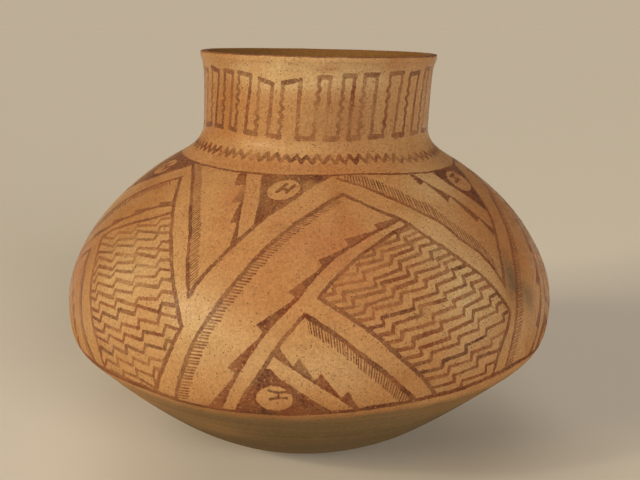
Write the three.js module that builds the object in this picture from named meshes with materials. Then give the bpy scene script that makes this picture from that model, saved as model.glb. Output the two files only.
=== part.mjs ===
// A coil-built earthenware olla: a low moulded base, coils of clay luted on top of it course by course,
// a short wide neck and a flared lip. Every course is its own solid and meets the next one on a scarfed seam.
// Millimetres, +Z up, origin on the surface that the jar rests on, under the centre of its widest circle.
import * as THREE from "three";

// Outer profile, from the base up
const baseFlatRadius = 52;
const baseEdgeSlope = 6; // degrees above level where the wall leaves the flat
const bellyRadius = 170; // the widest circle
const kneeInset = 6; // how far inside the widest circle the lower wall ends
const kneeHeight = 77; // from the flat to the knee, where the lower wall meets the shoulder
const kneeSlope = 44; // degrees above level at the knee
const shoulderRise = 25.5; // from the knee to the widest circle
const upperWallRise = 92; // from the widest circle to the foot of the neck
const neckRadius = 78;
const neckFootSpread = 24.5; // how far the foot of the neck stands outside the neck
const neckFootSlope = 31; // degrees above level where the upper wall meets the neck
const neckFootRise = 26.5;
const neckStraight = 31;
const lipFlare = 2.2; // how far the lip stands outside the neck
const lipSlope = 68; // degrees above level at the lip
const lipRise = 13.7;

// How full each curved stretch of the profile is: the length of its handles over its chord
const lowerWallFullness = 0.3;
const shoulderFullness = 0.33;
const upperWallFullness = 0.32;
const neckFootFullness = 0.4;
const lipFullness = 0.35;

// Wall
const wallThickness = 6.5;
const lipThickness = 5;

// Seams between courses: the inner edge of a seam stands higher than its outer edge
const scarfRise = 4;
const seamGap = 0.3;

// How the hand-built jar departs from a true round: it leans towards +X and its lip dips there
const lipLean = 6.4; // how far the lip's centre stands to +X of the widest circle's
const lipDip = 1.5; // how far the lip drops at +X, and rises at -X

// Courses in each stretch of the wall
const mouldReach = 60; // how far the moulded base runs up the wall from the edge of the flat
const lowerWallCoils = 3;
const upperWallCoils = 5;
const neckCoils = 2;

// Fineness of the facets
const sidesAround = 48;
const spanLength = 11;
const leastSpans = 2;
const lipSteps = 6;

const bellyHeight = kneeHeight + shoulderRise;
const neckFootHeight = bellyHeight + upperWallRise;
const neckStraightStart = neckFootHeight + neckFootRise;
const neckStraightEnd = neckStraightStart + neckStraight;
const lipHeight = neckStraightEnd + lipRise;
const lipRadius = neckRadius + lipFlare;

const slippedClay = { color: 0xc9975c, roughness: 0.8, metalness: 0 };
const bareClay = { color: 0xa87f52, roughness: 0.9, metalness: 0 };

// A unit direction in the profile plane, at an angle above the outward level line
function heading(degrees) {
  const angle = THREE.MathUtils.degToRad(degrees);
  return new THREE.Vector2(Math.cos(angle), Math.sin(angle));
}

// A smooth stretch of profile that leaves one point and reaches another along given headings
function bend(start, startHeading, end, endHeading, fullness) {
  const reach = start.distanceTo(end) * fullness;
  const firstHandle = start.clone().addScaledVector(heading(startHeading), reach);
  const lastHandle = end.clone().addScaledVector(heading(endHeading), -reach);
  return new THREE.CubicBezierCurve(start, firstHandle, lastHandle, end);
}

const upright = 90;
const inwardSlope = 180 - neckFootSlope;
const centre = new THREE.Vector2(0, 0);
const flatEdge = new THREE.Vector2(baseFlatRadius, 0);
const knee = new THREE.Vector2(bellyRadius - kneeInset, kneeHeight);
const belly = new THREE.Vector2(bellyRadius, bellyHeight);
const neckFoot = new THREE.Vector2(neckRadius + neckFootSpread, neckFootHeight);
const neckBottom = new THREE.Vector2(neckRadius, neckStraightStart);
const neckTop = new THREE.Vector2(neckRadius, neckStraightEnd);
const lip = new THREE.Vector2(lipRadius, lipHeight);

const baseFlat = new THREE.LineCurve(centre, flatEdge);
const lowerWall = bend(flatEdge, baseEdgeSlope, knee, kneeSlope, lowerWallFullness);
const shoulder = bend(knee, kneeSlope, belly, upright, shoulderFullness);
const upperWall = bend(belly, upright, neckFoot, inwardSlope, upperWallFullness);
const neckFillet = bend(neckFoot, inwardSlope, neckBottom, upright, neckFootFullness);
const neckWall = new THREE.LineCurve(neckBottom, neckTop);
const lipCurve = bend(neckTop, upright, lip, lipSlope, lipFullness);

const profile = new THREE.CurvePath();
const stretches = [baseFlat, lowerWall, shoulder, upperWall, neckFillet, neckWall, lipCurve];
stretches.forEach((curve) => profile.add(curve));
const profileLength = profile.getLength();
const lipCurveLength = lipCurve.getLength();

// Wall thickness at a distance along the outer profile: even up to the flare, then thinning to the lip
function wallAt(distance) {
  const intoLip = Math.max(0, distance - (profileLength - lipCurveLength)) / lipCurveLength;
  return THREE.MathUtils.lerp(wallThickness, lipThickness, Math.min(1, intoLip));
}

// Share of the whole profile at a distance along it, kept off the end's rounding error
function shareAt(distance) {
  return Math.min(1, distance / profileLength);
}

function outerPoint(distance) {
  return profile.getPoint(shareAt(distance));
}

// The inner face lies square to the outer one, a wall's thickness inside it
function innerPoint(distance) {
  const tangent = profile.getTangent(shareAt(distance));
  const inward = new THREE.Vector2(-tangent.y, tangent.x);
  return outerPoint(distance).addScaledVector(inward, wallAt(distance));
}

// Points along one face between two distances, both ends included
function facePoints(pointAt, from, to) {
  const spans = Math.max(leastSpans, Math.ceil(Math.abs(to - from) / spanLength));
  return Array.from({ length: spans + 1 }, (_, i) => pointAt(from + ((to - from) * i) / spans));
}

// The rounded top of the lip: a half circle from the outer face over to the inner one
function lipRound() {
  const outer = outerPoint(profileLength);
  const inner = innerPoint(profileLength);
  const middle = outer.clone().lerp(inner, 0.5);
  const across = outer.clone().sub(middle);
  const up = new THREE.Vector2(-across.y, across.x);
  return Array.from({ length: lipSteps - 1 }, (_, i) => {
    const angle = (Math.PI * (i + 1)) / lipSteps;
    return middle
      .clone()
      .addScaledVector(across, Math.cos(angle))
      .addScaledVector(up, Math.sin(angle));
  });
}

// Leans the jar about its widest circle, and tips each level in proportion to its height
function leanByHand(geometry) {
  const position = geometry.getAttribute("position");
  for (let i = 0; i < position.count; i += 1) {
    const x = position.getX(i);
    const z = position.getZ(i);
    const lean = (lipLean * (z - bellyHeight)) / (lipHeight - bellyHeight);
    const dip = lipDip * (z / lipHeight) * (x / lipRadius);
    position.setX(i, x + lean);
    position.setZ(i, z - dip);
  }
}

function turnedMesh(name, outline, finish) {
  const geometry = new THREE.LatheGeometry(outline, sidesAround).rotateX(Math.PI / 2);
  leanByHand(geometry);
  const mesh = new THREE.Mesh(geometry, new THREE.MeshStandardMaterial(finish));
  mesh.name = name;
  return mesh;
}

// The moulded base: the flat, the dish above it and the first seam
function mouldedBase(to) {
  const seam = to - seamGap / 2;
  const flatLength = baseFlat.getLength();
  const outside = [centre.clone(), ...facePoints(outerPoint, flatLength, seam)];
  const inside = facePoints(innerPoint, seam + scarfRise, flatLength);
  const floor = new THREE.Vector2(0, wallThickness);
  return turnedMesh("moulded_base", [...outside, ...inside, floor], bareClay);
}

// One coil, thinned to the wall: outer face up, seam across, inner face down, seam back
function coil(name, from, to, top, finish) {
  const bottomSeam = from + seamGap / 2;
  const topSeam = top ? to : to - seamGap / 2;
  const topInner = top ? to : topSeam + scarfRise;
  const outline = [
    ...facePoints(outerPoint, bottomSeam, topSeam),
    ...(top ? lipRound() : []),
    ...facePoints(innerPoint, topInner, bottomSeam + scarfRise),
  ];
  outline.push(outline[0].clone());
  return turnedMesh(name, outline, finish);
}

const olla = new THREE.Group();
let reached = baseFlat.getLength() + mouldReach;
olla.add(mouldedBase(reached));

const courses = [
  { name: "lower_wall_coil", length: lowerWall.getLength() - mouldReach, count: lowerWallCoils },
  { name: "shoulder_coil", length: shoulder.getLength(), count: 1 },
  { name: "upper_wall_coil", length: upperWall.getLength(), count: upperWallCoils },
  { name: "neck_foot_coil", length: neckFillet.getLength(), count: 1 },
  { name: "neck_coil", length: neckWall.getLength(), count: neckCoils },
  { name: "rim_coil", length: lipCurveLength, count: 1 },
];
courses.forEach(({ name, length, count }, course) => {
  for (let i = 1; i <= count; i += 1) {
    const coilName = count > 1 ? `${name}_${i}` : name;
    const isTop = course === courses.length - 1 && i === count;
    const to = reached + length / count;
    const finish = name === "lower_wall_coil" ? bareClay : slippedClay;
    olla.add(coil(coilName, reached, to, isTop, finish));
    reached = to;
  }
});

export default olla;
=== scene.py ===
import math
import bpy
import numpy as np
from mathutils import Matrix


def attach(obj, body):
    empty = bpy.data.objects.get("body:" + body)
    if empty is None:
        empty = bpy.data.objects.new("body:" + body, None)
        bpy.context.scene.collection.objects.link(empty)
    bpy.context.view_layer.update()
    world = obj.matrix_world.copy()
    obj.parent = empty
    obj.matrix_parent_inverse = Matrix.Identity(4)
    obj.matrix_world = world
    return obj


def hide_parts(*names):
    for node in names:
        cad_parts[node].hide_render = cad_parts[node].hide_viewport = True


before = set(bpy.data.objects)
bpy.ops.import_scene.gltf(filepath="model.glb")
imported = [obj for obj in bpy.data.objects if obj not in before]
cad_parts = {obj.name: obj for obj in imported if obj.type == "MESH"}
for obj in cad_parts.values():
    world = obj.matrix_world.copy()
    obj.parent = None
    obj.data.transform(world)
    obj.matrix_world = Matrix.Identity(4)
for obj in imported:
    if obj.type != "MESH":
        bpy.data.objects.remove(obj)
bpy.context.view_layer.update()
print("frame loaded,", len(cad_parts), "solids")

# A coil-built jar, painted red on buff. Sizes are in millimetres and angles in degrees;
# an azimuth of 0 faces the camera and grows towards +X, and "along" is the distance up the outer
# profile from the middle of the base.
mm = 0.001
fullTurn = 360
tiny = 1e-9  # keeps a division off zero
chance = np.random.default_rng(41)

jar = {
    "flatRadius": 52, "flatEdgeSlope": 6,
    "bellyRadius": 170, "kneeInset": 6, "kneeHeight": 77, "kneeSlope": 44,
    "shoulderRise": 25.5, "upperWallRise": 92,
    "neckRadius": 78, "neckFootSpread": 24.5, "neckFootSlope": 31, "neckFootRise": 26.5,
    "neckStraight": 31, "lipFlare": 2.2, "lipSlope": 68, "lipRise": 13.7,
    "lowerFullness": 0.3, "shoulderFullness": 0.33, "upperFullness": 0.32,
    "neckFootFullness": 0.4, "lipFullness": 0.35,
    "wall": 6.5, "lipWall": 5, "scarfRise": 4, "mouldReach": 60,
    "lean": 6.4, "dip": 1.5, "lipCrown": 1.2, "lipSquareness": 0.25, "lipFlatness": 0.35,
}


# Profile: straight stretches and cubic bends, joined end to end and measured along their length

def heading(degrees):
    return np.array([math.cos(math.radians(degrees)), math.sin(math.radians(degrees))])


# A cubic curve: its handles leave each end along a heading and are a share of the chord long
def bend(start, startHeading, end, endHeading, fullness, steps=240):
    start, end = np.array(start, float), np.array(end, float)
    reach = fullness * np.linalg.norm(end - start)
    first = start + reach * heading(startHeading)
    last = end - reach * heading(endHeading)
    t = np.linspace(0, 1, steps)[:, None]
    return (1 - t) ** 3 * start + 3 * (1 - t) ** 2 * t * first + 3 * (1 - t) * t ** 2 * last + t ** 3 * end


upright = 90
bellyHeight = jar["kneeHeight"] + jar["shoulderRise"]
neckFootHeight = bellyHeight + jar["upperWallRise"]
neckStart = neckFootHeight + jar["neckFootRise"]
neckEnd = neckStart + jar["neckStraight"]
lipHeight = neckEnd + jar["lipRise"]
lipRadius = jar["neckRadius"] + jar["lipFlare"]

flatEdge = (jar["flatRadius"], 0)
knee = (jar["bellyRadius"] - jar["kneeInset"], jar["kneeHeight"])
belly = (jar["bellyRadius"], bellyHeight)
neckFoot = (jar["neckRadius"] + jar["neckFootSpread"], neckFootHeight)
neckBottom = (jar["neckRadius"], neckStart)
neckTop = (jar["neckRadius"], neckEnd)
lip = (lipRadius, lipHeight)
inwardSlope = 180 - jar["neckFootSlope"]
straightSteps = 60

stretches = {
    "flat": np.linspace((0, 0), flatEdge, straightSteps),
    "lowerWall": bend(flatEdge, jar["flatEdgeSlope"], knee, jar["kneeSlope"], jar["lowerFullness"]),
    "shoulder": bend(knee, jar["kneeSlope"], belly, upright, jar["shoulderFullness"]),
    "upperWall": bend(belly, upright, neckFoot, inwardSlope, jar["upperFullness"]),
    "neckFoot": bend(neckFoot, inwardSlope, neckBottom, upright, jar["neckFootFullness"]),
    "neck": np.linspace(neckBottom, neckTop, straightSteps),
    "lip": bend(neckTop, upright, lip, jar["lipSlope"], jar["lipFullness"]),
}


def pieceLengths(path):
    return np.linalg.norm(np.diff(path, axis=0), axis=1)


def runningTotal(lengths):
    return np.concatenate([[0], np.cumsum(lengths)])


stretchLength = {name: pieceLengths(points).sum() for name, points in stretches.items()}
# Each stretch leaves out its first point, which is the last of the one before
profile = np.vstack([(0, 0)] + [points[1:] for points in stretches.values()])
profileAlong = runningTotal(pieceLengths(profile))
profileLength = profileAlong[-1]
profileTangent = np.gradient(profile, profileAlong, axis=0)
profileTangent /= np.linalg.norm(profileTangent, axis=1)[:, None]


def onProfile(table, along):
    return np.stack([np.interp(along, profileAlong, table[:, axis]) for axis in (0, 1)], axis=-1)


def radiusAt(along):
    return np.interp(along, profileAlong, profile[:, 0])


# Inward, square to the profile
def inwardAt(along):
    tangent = onProfile(profileTangent, along)
    return np.stack([-tangent[..., 1], tangent[..., 0]], axis=-1)


# The wall is even up to the flare and then thins evenly to the lip
def wallAt(along):
    intoLip = np.clip((along - profileLength + stretchLength["lip"]) / stretchLength["lip"], 0, 1)
    return jar["wall"] + (jar["lipWall"] - jar["wall"]) * intoLip


def outerFace(along):
    return onProfile(profile, along)


# A wall's thickness inside the outer face, square to it
def innerFace(along):
    return outerFace(along) + inwardAt(along) * wallAt(along)[:, None]


# The top of the lip: level, with small rounded edges, raised from the slanting line between the two faces.
# Its width and height go by the cosine and the sine of half a turn, to small powers.
def lipRound(steps):
    outer = outerFace(np.array([profileLength]))[0]
    inner = innerFace(np.array([profileLength]))[0]
    middle, across = (outer + inner) / 2, (outer - inner) / 2
    turn = np.linspace(0, math.pi, steps + 1)[1:-1, None]
    wide = np.sign(np.cos(turn)) * np.abs(np.cos(turn)) ** jar["lipSquareness"]
    high = np.sin(turn) ** jar["lipFlatness"]
    slant = middle + wide * across
    top = inner[1] + jar["lipCrown"]
    return slant + high * np.concatenate([0 * slant[:, :1], top - slant[:, 1:]], axis=1)


print("profile", round(float(profileLength), 1), "mm long")

# Painted design: a list of brush marks in azimuth and distance along the profile

design = []
lineWear = {"wear": (0.0, 0.25), "hue": (0.3, 0.75)}
# How far apart a path's points are, how much a line wavers and swells, and the share and speed of the two
# sine waves by which it does
brush = {"spacing": 2.5, "waver": 0.16, "swell": 0.09,
         "waverWaves": [(1, 0.55), (0.6, 1.3)], "swellWaves": [(1, 0.4), (0.5, 1.7)]}
markNumbers = (1, 400)  # what the first mark of a hatched strip can be numbered


def degreesPer(along):
    return math.degrees(1) / radiusAt(along)


# A smooth path through a few points: cubic pieces whose slope at a point comes from its neighbours
def brushPath(points, spacing=brush["spacing"]):
    points = np.array(points, float)
    scale = np.array([1 / degreesPer(points[:, 1].mean()), 1.0])
    knots = runningTotal(pieceLengths(points * scale))
    slope = np.gradient(points, knots, axis=0)
    at = np.linspace(0, knots[-1], max(2, round(knots[-1] / spacing) + 1))
    piece = np.clip(np.searchsorted(knots, at, side="right") - 1, 0, len(knots) - 2)
    span = (knots[piece + 1] - knots[piece])[:, None]
    t = (at - knots[piece])[:, None] / span
    return ((2 * t ** 3 - 3 * t ** 2 + 1) * points[piece] + (t ** 3 - 2 * t ** 2 + t) * span * slope[piece]
            + (3 * t ** 2 - 2 * t ** 3) * points[piece + 1] + (t ** 3 - t ** 2) * span * slope[piece + 1])


def drawn(limits):
    return chance.uniform(*limits)


def waves(kind, count, phases):
    return sum(share * np.sin(count * speed + phase) for (share, speed), phase in zip(brush[kind], phases))


# One pull of the brush: the path wavers a little from side to side and the line swells and thins
def stroke(path, width, look=lineWear, waver=brush["waver"], into=None):
    path = np.array(path, float)
    count = np.arange(len(path))
    phase = chance.uniform(0, 2 * math.pi, 4)
    sideways = waver * waves("waverWaves", count, phase[:2])
    step = np.gradient(path, axis=0) / np.array([degreesPer(path[:, 1].mean()), 1.0])
    step /= np.maximum(np.linalg.norm(step, axis=1), tiny)[:, None]
    across = np.stack([-step[:, 1] * degreesPer(path[:, 1]), step[:, 0]], axis=1)
    half = width / 2 * (1 + brush["swell"] * waves("swellWaves", count, phase[2:]))
    mark = {"kind": "stroke", "path": path + across * sideways[:, None], "half": half,
            "wear": drawn(look["wear"]), "hue": drawn(look["hue"])}
    (design if into is None else into).append(mark)


def fill(outline, look):
    design.append({"kind": "fill", "outline": np.array(outline, float),
                   "wear": drawn(look["wear"]), "hue": drawn(look["hue"])})


# Short parallel marks off one side of a path, numbered from its start; reach is a mark's run in millimetres
def hatch(path, marks):
    first = int(chance.integers(*markNumbers))
    design.append({"kind": "hatch", "path": np.array(path, float), "first": first, **marks})


# Unit of the body band: a broad arch with a stepped field under it, and the valley to its left.
# Points are as they stand on the unit that faces the camera.
arch = {
    "outerLeft": [(-26, 256.5), (-24.6, 267), (-18.3, 294.2), (-14.6, 307.7), (-10.2, 318.7), (1.3, 341.7),
                  (4.5, 346)],
    "outerRight": [(7.8, 344), (14.9, 337.1), (30.4, 312.2), (35, 303), (38.4, 290.1), (42.4, 277.9),
                   (44.7, 265.7), (45.7, 254.1)],
    "innerLeft": [(8.4, 330), (4.2, 324.2), (-6.5, 304), (-21.3, 242.2), (-27.2, 192)],
    "innerRight": [(8.4, 330), (18.2, 315.7), (23.1, 308.5), (29.3, 293.2), (41.1, 258.7), (45.2, 238.4)],
    "innerRightFoot": [(45.2, 238.4), (40.2, 211.8), (39.2, 200)],
    "flagLine": [(22.8, 308.3), (16.2, 302.2), (1, 276.9), (-2.9, 262.6), (-6.6, 250.7), (-15.1, 208.8),
                 (-17.4, 192)],
    "fieldUpper": [(24.4, 303.8), (18.7, 298.1), (3.3, 269.3), (1.1, 261.8)],
    "fieldLower": [(1.1, 261.8), (9, 246.9), (18.6, 221.6), (23.2, 207.6), (25.6, 197)],
    "lowLeft": [(-1.7, 252), (-4.2, 243.5), (-9.6, 217.9), (-12.4, 204), (-14.2, 192)],
    "lowRight": [(-1.7, 252), (3.2, 243.8), (8.9, 230.8), (19.1, 203.8), (21.2, 197)],
    "lowEdge": [(-6.9, 230.1), (3.6, 209.8), (9.3, 197)],
}
archLines = {
    "outerLeft": 2.6, "outerRight": 2.3, "innerLeft": 2.6, "innerRight": 2.5, "innerRightFoot": 2.7,
    "flagLine": 2.2, "fieldUpper": 2.2, "fieldLower": 2.5, "lowLeft": 2.4, "lowRight": 2.7, "lowEdge": 1.7,
}
# Blunt wedges that hang off a line like flags, one after another: where each one ends, by distance along
# the jar, and how deep it is at its head and at its foot
archFlags = [(302, 1.8, 4.6), (292, 0.6, 5.6), (279.6, 0.6, 5.2), (261, 0.6, 6.2), (241.4, 0.6, 6.8),
             (217.7, 0.6, 6.8), (192, 0.6, 7)]
lowFlags = [(205.1, 0.6, 6.2), (215.7, 0.6, 6), (223.5, 0.6, 6.4), (230.5, 0.6, 4.4)]
# The dark triangle at the foot of the arch: its outline, the bare oval in it, and the bars in the oval
lowCorner = {
    "triangle": [(-8.6, 222.6), (-7.4, 222.2), (-5.6, 216.9), (-3.7, 213.5), (0, 205.9), (3.8, 198.3),
                 (5.8, 192), (-14.2, 192), (-12.4, 204), (-9.6, 217.9)],
    "oval": {"centre": (-6.5, 204.7), "wide": 10.1, "high": 7.8, "tilt": 0},
    "marks": [[(-7.7, 209.5), (-5.8, 208.8)], [(-5.2, 209.1), (-3.9, 209.4)], [(-5.8, 208.5), (-5.8, 205.2)],
              [(-7.4, 204.4), (-6.2, 205.2), (-4.2, 205.7)]],
    "bar": 1.6,
}
# The valley beside the arch: a line of flags, and a dark triangle with a bare oval
valley = {
    "edge": [(-27.2, 345.7), (-24.9, 336.7), (-21.3, 313.5), (-20.4, 304), (-19, 290)],
    "flags": [(335, 5, 6.2), (321, 0.6, 6), (305.5, 0.6, 4.6), (290.5, 0.6, 3)],
    "triangle": [(-20.7, 347), (-18.3, 332.8), (-17, 322.2), (-16.2, 307.3), (-15.9, 303.8), (-12.5, 313.4),
                 (-7.8, 324.4), (-2.1, 336.5), (4.4, 347)],
    "oval": {"centre": (-10.5, 333.2), "wide": 10, "high": 7.9, "tilt": 34},
    "marks": [[(-12.4, 331), (-10, 338)], [(-9.5, 330.5), (-7.2, 337.5)], [(-11, 334), (-9.3, 333.2)]],
    "bar": 2.2, "line": 1.8,
}
# Stepped lines that fill the field: runs that climb, with a riser at each step. The foot of a riser is
# at a corner, plus so much for each step and each line; both amounts change evenly from line to line.
stairs = {
    "corner": (4.2, 263.5), "step": (6.6, 8.1), "stepChange": (-0.06, -0.19), "line": (1.9, -3.2),
    "lineChange": (0, -0.09), "riser": 4.5, "lines": (-3, 15), "steps": (-1, 5),
    "width": 2.1, "widthSpread": (0.85, 1.15), "stray": (0.25, 0.45), "wear": (0.0, 0.4), "hue": (0.15, 1.0),
    "lessWear": 0.5, "moreWear": 0.1, "hueStray": 0.2,
}
hatching = {
    "innerLeft": {"reach": (7.6, -2.2), "lastReach": (8.0, 1.0), "spacing": 2.0, "start": 0.05, "end": 0.98},
    "outerRight": {"reach": (1.6, 12.6), "lastReach": (1.6, 12), "spacing": 2.4, "start": 0.03, "end": 0.97},
    "lowRight": {"reach": (2.2, -9.6), "lastReach": (-3, -8.2), "spacing": 2.0, "start": 0.01, "end": 0.97},
}
darkLook = {"wear": (0.0, 0.06), "hue": (0.25, 0.5)}
flagLook = {"wear": (0.0, 0.25), "hue": (0.35, 0.7)}
barWaver = 0.05
flagPoints = 4

# Five units go round the jar. Each is turned to its place; a pinch narrows its top towards its right
# valley, a lift raises its middle and a stretch widens the valley at its left. Two have points of their own.
units = [
    {"turn": 0, "pinch": 0, "lift": 0, "stretch": 1.0},
    {"turn": 71.5, "pinch": 0.02, "lift": 2, "stretch": 1.17,
     "own": {
         "outerLeft": [(45.8, 254.6), (48.1, 267), (53.6, 287.5), (57.9, 299.6), (64.3, 323.8),
                       (70.7, 335.6), (76, 346)],
         "innerLeft": [(83, 330), (75.6, 313.6), (67.8, 303.5), (62.3, 289.5), (53.7, 264.9), (43.6, 203),
                       (43, 192)],
     },
     "valley": {
         "edge": [(38, 344.4), (41.8, 332), (46, 320.2), (53.6, 287.5)],
         "flags": [(335.5, 2, 6), (320, 0.6, 7), (300, 0.6, 5.6), (287.5, 0.6, 5)],
         "triangle": [(49.3, 346), (50.1, 335.8), (51.2, 328.3), (55, 315), (57.9, 299.6), (61, 312.4),
                      (64.3, 323.8), (70.7, 335.6), (76, 346)],
         "oval": {"centre": (59.1, 329.2), "wide": 10.3, "high": 9.6, "tilt": 0},
         "marks": [[(56.7, 334.2), (61.3, 335.3)], [(56.3, 328.7), (60.5, 330.8)],
                   [(58.6, 334.4), (58.3, 329.8)]],
         "bar": 1.9,
     }},
    {"turn": 143.5, "pinch": 0.1, "lift": -3, "stretch": 1.08},
    {"turn": 215.5, "pinch": 0.06, "lift": 4, "stretch": 1.12},
    {"turn": -72.5, "pinch": 0.25, "lift": 9, "stretch": 1.05,
     "own": {
         "outerRight": [(-56.5, 345.3), (-46.1, 331.5), (-34.6, 302.3), (-26, 257)],
         "innerRight": [(-53.6, 332), (-49.1, 322.5), (-28.3, 251.6), (-25.9, 239.3)],
         "innerRightFoot": [(-25.9, 239.3), (-29.8, 210.3), (-31.8, 195)],
         "innerLeft": [(-53.6, 332), (-64.1, 316.3), (-70.6, 303), (-79, 272), (-87, 248), (-100.3, 192)],
         "flagLine": [(-44.6, 310.6), (-49.1, 306.8), (-55.4, 298.3), (-75.5, 256), (-89.5, 192)],
         "fieldUpper": [(-42.8, 304.5), (-48.8, 296.8), (-55.5, 289), (-62.8, 278.5), (-65.2, 272)],
         "fieldLower": [(-65.2, 272), (-61.9, 263.2), (-58.1, 250), (-48, 203), (-47.2, 194)],
         "lowLeft": [(-68, 261), (-72.8, 250.1), (-76, 236), (-85, 192)],
         "lowRight": [(-68, 261), (-59.7, 233.6), (-55.9, 214.7), (-52.1, 198.4), (-51.5, 194)],
         "lowEdge": [(-75, 240), (-69.5, 233.8), (-65.5, 224), (-63.2, 212), (-60.5, 196)],
     },
     "hatching": {"outerRight": {"reach": (4.8, 5.6), "lastReach": (4.4, 7.2), "spacing": 1.65},
                  "innerLeft": {"reach": (7.6, -2.8), "lastReach": (7.6, -2.8), "spacing": 2.7}},
     "flags": [(305.8, 3, 4.4), (294.5, 0.6, 4.7), (281, 0.6, 4.6), (265.7, 0.6, 4.2), (245, 0.6, 4),
               (226, 0.6, 4), (192, 0.6, 4)],
     "stairs": {"corner": (-58.4, 276), "step": (7.0, 9.2), "stepChange": (-0.18, -0.4), "line": (2.0, -3.7),
                "lineChange": (-0.03, -0.11), "riser": 5.2, "lines": (0, 16), "steps": (-2, 5)}},
]
# The pinch grows along the jar, about the azimuth of the valley at a unit's right, and sets in from its left
pinch = {"from": 200, "over": 130, "about": 46.5, "fadeFrom": -26, "fadeOver": 22.5}
hump = {"wide": 16, "middle": 265, "high": 30}


# Lays a unit's points in place: narrowed by height about the valley, fading out towards its far end,
# and lifted most at the stepped field's left corner
def archPoints(points, unit):
    azimuth, along = np.array(points, float).T
    narrowing = unit["pinch"] * (along - pinch["from"]) / pinch["over"]
    fade = np.clip((azimuth - pinch["fadeFrom"]) / pinch["fadeOver"], 0, 1)
    across, up = azimuth / hump["wide"], (along - hump["middle"]) / hump["high"]
    lift = unit["lift"] * np.exp(-across ** 2 - up ** 2)
    narrowed = azimuth - (azimuth - pinch["about"]) * narrowing * fade
    return np.stack([narrowed + unit["turn"], along + lift], axis=1)


# A valley's points keep their place against the arch's outer left line and spread away from it
def valleyPoints(points, unit):
    azimuth, along = np.array(points, float).T
    edge = brushPath(arch["outerLeft"])
    anchor = np.interp(along, edge[:, 1], edge[:, 0])
    widened = np.stack([anchor + (azimuth - anchor) * unit["stretch"], along], axis=1)
    return archPoints(widened, unit)


# Each run and riser is a pull of the brush of its own, near the look of its line
def stairMarks(unit):
    own = {**stairs, **unit.get("stairs", {})}
    line, step = np.meshgrid(np.arange(*own["lines"]), np.arange(*own["steps"]), indexing="ij")
    line, step = line[..., None], step[..., None]
    feet = own["corner"] + step * (np.array(own["step"]) + line * own["stepChange"])
    feet = feet + line * (np.array(own["line"]) + line * own["lineChange"])
    feet = feet + chance.normal(0, 1, feet.shape) * own["stray"]
    heads = feet + chance.normal((0, own["riser"]), own["stray"], feet.shape)
    marks = []
    for foot, head in zip(feet, heads):
        corners = np.stack([foot, head], axis=1).reshape(-1, 2)
        path = corners if "stairs" in unit else archPoints(corners, unit)
        wear, hue = drawn(own["wear"]), drawn(own["hue"])
        look = {"wear": (own["lessWear"] * wear, wear + own["moreWear"]),
                "hue": (hue - own["hueStray"], hue + own["hueStray"])}
        for first, last in zip(path, path[1:]):
            stroke([first, last], own["width"] * drawn(own["widthSpread"]), look, 0, into=marks)
    return marks


# A dark triangle, the oval left bare in it and the marks in the oval
def drawCorner(corner):
    fill(corner["triangle"], darkLook)
    design.append({"kind": "oval", **corner["oval"]})
    for bar in corner["marks"]:
        stroke(brushPath(bar), corner["bar"], darkLook, barWaver)


def movedCorner(corner, place, unit):
    centre = place([corner["oval"]["centre"]], unit)[0]
    return {"triangle": place(corner["triangle"], unit), "oval": {**corner["oval"], "centre": centre},
            "marks": [place(bar, unit) for bar in corner["marks"]], "bar": corner["bar"]}


# Each flag lies between the line and a slanting edge to its right, looking along the line
def drawFlags(path, flags):
    byAlong = path[np.argsort(path[:, 1])]
    head = path[0, 1]
    for foot, headDepth, footDepth in flags:
        along = np.linspace(head, foot, flagPoints)
        line = np.stack([np.interp(along, byAlong[:, 1], byAlong[:, 0]), along], axis=1)
        scale = np.array([degreesPer(foot), 1.0])
        run = (line[-1] - line[0]) / scale
        out = np.array([run[1], -run[0]]) / np.linalg.norm(run) * scale
        fill(np.vstack([line, line[-1] + footDepth * out, line[0] + headDepth * out]), flagLook)
        head = foot


def drawUnit(unit):
    own = unit.get("own", {})
    paths = {}
    for name in archLines:
        paths[name] = brushPath(own[name] if name in own else archPoints(arch[name], unit))
    for name, width in archLines.items():
        stroke(paths[name], width)
    for name, marks in hatching.items():
        hatch(paths[name], {**marks, **unit.get("hatching", {}).get(name, {})})
    drawFlags(paths["flagLine"], unit.get("flags", archFlags))
    drawFlags(paths["lowEdge"][::-1], lowFlags)
    corner = paths["fieldUpper"][0]
    side = paths["innerRight"][paths["innerRight"][:, 0] > corner[0]]
    field = np.vstack([paths["fieldUpper"][::-1], side, paths["innerRightFoot"], paths["fieldLower"][::-1]])
    design.append({"kind": "field", "outline": field, "marks": stairMarks(unit)})
    drawCorner(movedCorner(lowCorner, archPoints, unit))
    beside = unit.get("valley")
    if beside is None:
        beside = {"edge": valleyPoints(valley["edge"], unit), "flags": valley["flags"],
                  **movedCorner(valley, valleyPoints, unit)}
    edge = brushPath(beside["edge"])
    stroke(edge, valley["line"])
    drawFlags(edge, beside["flags"])
    drawCorner(beside)


for unit in units:
    drawUnit(unit)

# Lines that go right round: points by azimuth, closed after a full turn
rounds = {
    "shoulder": [(-70, 196), (-48, 195.5), (-34, 196.3), (-24, 193), (-10, 193), (10, 197), (30, 200.5),
                 (46, 203), (64, 199.5), (100, 195), (140, 197), (180, 201), (220, 199), (255, 194)],
    "neck": [(-60, 347), (-30, 345.8), (0, 346.5), (14, 347.5), (28, 346), (40, 344), (60, 341.5), (100, 343),
             (150, 347), (200, 345), (250, 346)],
    "zigzag": [(-60, 360), (0, 359.5), (30, 359.3), (46, 356.8), (65, 356.5), (110, 359), (180, 358),
               (240, 360)],
}
roundLines = {"shoulder": 3.1, "neck": 1.7, "waver": 0.15, "spacing": 3, "overlap": 1}
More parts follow.
